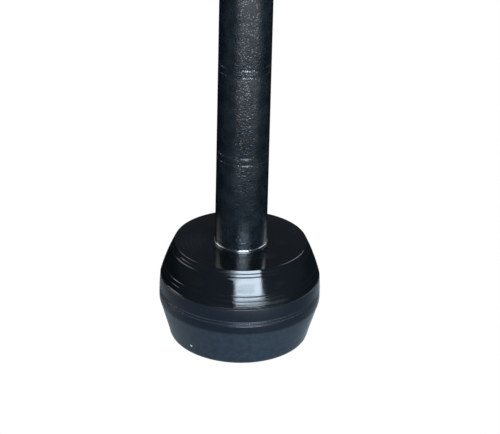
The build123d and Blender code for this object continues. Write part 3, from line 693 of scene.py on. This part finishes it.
def knob_points(radius, lobes, hub, grip, bore):
    """Scalloped knob standing on its hub about Z. Its outline is the lesser, smoothly joined, of a circle
    and of the near side of round scoops whose centres lie outside it."""
    turn = np.linspace(0, TAU, 32 * lobes, endpoint=False)
    off = (turn + math.pi / lobes) % (TAU / lobes) - math.pi / lobes
    inside = (SCOOP_R * radius) ** 2 - (SCOOP_AT * radius * np.sin(off)) ** 2
    scoop = SCOOP_AT * radius * np.cos(off) - np.sqrt(np.clip(inside, 0, None))
    scoop = np.where(inside > 0, scoop, 1.3 * radius)
    soft = SCOOP_BLEND * radius
    outline = -soft * np.logaddexp(-radius / soft, -scoop / soft)
    depth, edge, cap, shank = hub + grip, GRIP_ROUNDING, CAP_SHARE * radius, HUB_R * radius
    bend = np.linspace(0, math.pi / 2, 7)
    lower = [(-edge * (1 - math.sin(b)), hub + edge * (1 - math.cos(b))) for b in bend]
    upper = [(-edge * (1 - math.cos(b)), depth - edge * (1 - math.sin(b))) for b in bend]
    fixed = [(bore, 0.0), (shank - 0.4, 0.0), (shank, 0.4), (shank, hub)]
    recess = depth - CAP_RECESS
    closing = [(cap + 0.3, depth), (cap + 0.02, depth - 0.3), (cap + 0.02, recess), (bore, recess)]
    rings = [np.full_like(turn, r) for r, _ in fixed]
    rings += [outline + out for out, _ in lower + upper]
    rings += [np.full_like(turn, r) for r, _ in closing]
    r = np.stack(rings) * MM
    z = np.array([h for _, h in fixed + lower + upper + closing])[:, None] * MM + 0 * turn
    return np.stack([r * np.cos(turn), r * np.sin(turn), z], axis=-1)


def knob_cap_profile(radius, depth):
    """Low dome that closes a knob's face, from the recess floor up."""
    cap, recess = CAP_SHARE * radius, depth - CAP_RECESS
    return [(0.0, recess, 0.0), (cap, recess, 0.1), (cap, depth + 0.15, 0.5), (0.0, depth + 0.6, 0.0)]


def knob(node, cap_node, radius, lobes, hub, grip, bore, origin, along, across):
    """Knob and its pressed-in cap, standing on origin and pointing along."""
    body = placed(knob_points(radius, lobes, hub, grip, bore), origin, along, across)
    piece(node + "_grip", grid_mesh(node, body, ring=True), node)
    cap = placed(lathe(rounded(knob_cap_profile(radius, hub + grip)), 96), origin, along, across)
    piece(cap_node + "_dome", grid_mesh(cap_node, cap, ring=True), cap_node)


knob("clamp_knob", "clamp_knob_cap", 25.0, 6, 6.0, 14.0, 4.02, (0, -35.0, COLLAR_Z), (0, -1, 0), (1, 0, 0))
knob("splay_knob", "splay_knob_cap", 18.0, 5, 3.0, 12.0, 6.02, (36.12, 0, SPLAY_Z), (1, 0, 0), (0, 1, 0))


# ---- yoke -------------------------------------------------------------------------------------------
WELD_FROM, WELD_TO, WELD_LEG, RIPPLE_PITCH = PIVOT_Z - 39.0, PIVOT_Z + 14.0, 4.0, 2.1
PLATE_FRONT = 34.0
EAR_OUTSIDE, EAR_INSIDE = 33.1, 29.1


def weld_bead(face, side):
    """Fillet weld from the ear's face to the plate: a bulging section carried up the corner, with crescent
    ripples, closed by a taper at both ends."""
    z = np.linspace(WELD_FROM, WELD_TO, 200)[:, None]
    t = np.linspace(0, 1, 13)[None]
    ripple = 0.5 + 0.5 * np.cos(TAU * (z / RIPPLE_PITCH + 0.9 * (t - 0.5) ** 2 + 0.12 * np.sin(z * 0.9)))
    wander = 0.14 * np.sin(z * 0.37 + face) + 0.1 * np.sin(z * 0.83 + side)
    taper = np.sqrt(np.clip(np.minimum(z - WELD_FROM, WELD_TO - z) / 1.8, 0, 1))
    reach = (0.9 + 0.3 * np.sin(math.pi * t)) * (WELD_LEG - 0.45 + 0.4 * ripple + wander) * taper
    angle = t * math.pi / 2
    reach = reach / (np.cos(angle) + np.sin(angle))
    x = face + side * reach * np.cos(angle)
    y = PLATE_FRONT - reach * np.sin(angle)
    corner = np.stack([np.full_like(z, face), np.full_like(z, PLATE_FRONT), z], axis=-1)
    return np.concatenate([np.stack([x, y, z + 0 * t], axis=-1), corner], axis=1) * MM


def weld_mesh():
    """The four beads as one mesh: outside and inside of each ear."""
    spots = [(EAR_OUTSIDE, 1), (EAR_INSIDE, -1), (-EAR_OUTSIDE, -1), (-EAR_INSIDE, 1)]
    bm = bmesh.new()
    for face, side in spots:
        mesh = grid_mesh("bead", weld_bead(face, side))
        bm.from_mesh(mesh)
        bpy.data.meshes.remove(mesh)
    mesh = bpy.data.meshes.new("weld_beads")
    bm.to_mesh(mesh)
    bm.free()
    mesh.shade_smooth()
    return mesh


piece("weld_beads", weld_mesh(), "ear_welds")

# every other part keeps its CAD shape, with its sharp edges rounded off by so many mm
EASED = {
    "slide_collar": 0.6,
    "ear_right": 0.5,
    "ear_left": 0.5,
    "rail_plate": 0.5,
    "rail_pad": 0.5,
    "upper_bush": 0.3,
    "lower_bush": 0.3,
    "sole_plug": 0.4,
    "pivot_bolts": 0.4,
    "guide_bolt": 0.3,
    "pivot_washers": 0.2,
    "pivot_spacers": 0.15,
    "lock_washer": 0.2,
    "clamp_insert": 0.2,
    "splay_insert": 0.2,
    "pressure_pad": 0.2,
    "spindle_nut": 0.3,
    "spindle_washer": 0.2,
    "spindle_insert": 0.2,
    "stop_ring": 0.3,
    "stop_pin": 0.1,
    "sole_washers": 0.15,
    "sole_screws": 0.2,
}
for node, edge in EASED.items():
    eased(node, edge)


# ---- camera, floor and light ------------------------------------------------------------------------
def look(position, yaw, pitch, roll, lens):
    """Camera at position, turned yaw right of +Y, pitch below the horizon and roll about its own axis."""
    yaw, pitch, roll = (math.radians(a) for a in (yaw, pitch, roll))
    ahead = Vector((math.sin(yaw) * math.cos(pitch), math.cos(yaw) * math.cos(pitch), -math.sin(pitch)))
    right = Vector((math.cos(yaw), -math.sin(yaw), 0))
    up = right.cross(ahead)
    right, up = (
        right * math.cos(roll) + up * math.sin(roll),
        up * math.cos(roll) - right * math.sin(roll),
    )
    data = bpy.data.cameras.new("camera")
    data.lens, data.sensor_width = lens, 36.0
    data.clip_start, data.clip_end = 0.01, 100.0
    camera = bpy.data.objects.new("camera", data)
    bpy.context.scene.collection.objects.link(camera)
    turn = Matrix((right, up, -ahead)).transposed().to_4x4()
    camera.matrix_world = Matrix.Translation(position) @ turn
    bpy.context.scene.camera = camera


look(Vector((0.00210, -1.2865, 0.7171)), yaw=0.13, pitch=26.52, roll=1.44, lens=180.0)


def softbox(name, centre, target, size, strength, colour):
    """Rectangular light facing a target, hidden from the camera; strength in watts."""
    data = bpy.data.lights.new(name, "AREA")
    data.shape, data.size, data.size_y = "RECTANGLE", *size
    data.energy, data.color = strength, colour
    lamp = bpy.data.objects.new(name, data)
    bpy.context.scene.collection.objects.link(lamp)
    lamp.location = centre
    lamp.rotation_euler = (Vector(target) - Vector(centre)).to_track_quat("-Z", "Y").to_euler()
    lamp.visible_camera = False


softbox("window", (0.36, -1.5, 0.70), (0, 0, 0.08), (1.15, 1.15), 76.0, (0.71, 0.86, 1.0))
softbox("behind_right", (1.0, 1.3, 1.5), (0, 0, 0.35), (0.9, 0.9), 18.0, (0.9, 0.95, 1.0))
softbox("behind_left", (-1.3, 0.8, 1.3), (0, 0, 0.35), (0.9, 0.9), 12.0, (1.0, 0.98, 0.95))


FLOOR_Z, FLOOR_R, FLOOR_SIDES = -0.0245, 6, 64  # metres; under the sole when the foot is screwed right out
BENCH_EDGE = 0.35, 0.47  # metres from the leg, where the dark bench gives way to the bright floor


def floor_finish():
    """Pale studio floor: white to the eye. What reflects it sees a dark bench near the object and a bright
    floor beyond, in front of the window."""
    material = bpy.data.materials.new("studio_floor")
    material.use_nodes = True
    tree = material.node_tree
    tree.nodes.clear()
    place = add(tree, "ShaderNodeTexCoord").outputs["Object"]
    parts = add(tree, "ShaderNodeSeparateXYZ", {0: place}).outputs
    away = add(tree, "ShaderNodeVectorMath", {0: place}, operation="LENGTH").outputs["Value"]
    far = ramp(tree, away, *BENCH_EDGE)
    rightward = maths(tree, "DIVIDE", parts["X"], away)
    backward = maths(tree, "DIVIDE", parts["Y"], away)
    front = ramp(tree, backward, -0.25, -0.75)
    to_right = ramp(tree, rightward, -0.75, -0.25)
    bright = maths(tree, "MULTIPLY", maths(tree, "MULTIPLY", far, front), to_right)
    grain = add(tree, "ShaderNodeTexNoise", {"Vector": place, "Scale": 14.0, "Detail": 3.0}).outputs["Fac"]
    near = blend_colour(tree, grain, rgb(0.040, 0.052, 0.066), rgb(0.055, 0.070, 0.088))
    near = blend_colour(tree, ramp(tree, backward, 0.2, -0.4), rgb(0.006, 0.010, 0.013), near)
    seen = blend_colour(tree, bright, near, rgb(1.35, 1.42, 1.48))
    glow = add(tree, "ShaderNodeEmission", {"Color": seen, "Strength": 1.0})
    white = add(tree, "ShaderNodeEmission", {"Color": rgb(1, 1, 1), "Strength": 1.0})
    direct = add(tree, "ShaderNodeLightPath").outputs["Is Camera Ray"]
    both = add(tree, "ShaderNodeMixShader", {0: direct, 1: glow.outputs[0], 2: white.outputs[0]})
    add(tree, "ShaderNodeOutputMaterial", {"Surface": both.outputs[0]})
    return material


def studio_floor():
    """Flat disc far enough under the sole for the foot to screw right out."""
    ring = np.linspace(0, TAU, FLOOR_SIDES, endpoint=False)
    rim = np.stack([FLOOR_R * np.cos(ring), FLOOR_R * np.sin(ring), 0 * ring + FLOOR_Z], axis=1)
    mesh = bpy.data.meshes.new("studio_floor")
    mesh.from_pydata(rim.tolist(), [], [list(range(FLOOR_SIDES))])
    floor = bpy.data.objects.new("studio_floor", mesh)
    bpy.context.scene.collection.objects.link(floor)
    mesh.materials.append(floor_finish())


def studio_air():
    """White to the eye, dim blue-grey to what reflects it."""
    world = bpy.data.worlds.new("studio_air")
    bpy.context.scene.world = world
    world.use_nodes = True
    tree = world.node_tree
    tree.nodes.clear()
    direct = add(tree, "ShaderNodeLightPath").outputs["Is Camera Ray"]
    seen = blend_colour(tree, direct, rgb(0.055, 0.065, 0.075), rgb(1, 1, 1))
    glow = add(tree, "ShaderNodeBackground", {"Color": seen, "Strength": 1.0})
    add(tree, "ShaderNodeOutputWorld", {"Surface": glow.outputs[0]})


studio_floor()
studio_air()
bpy.context.scene.view_settings.view_transform = "Standard"
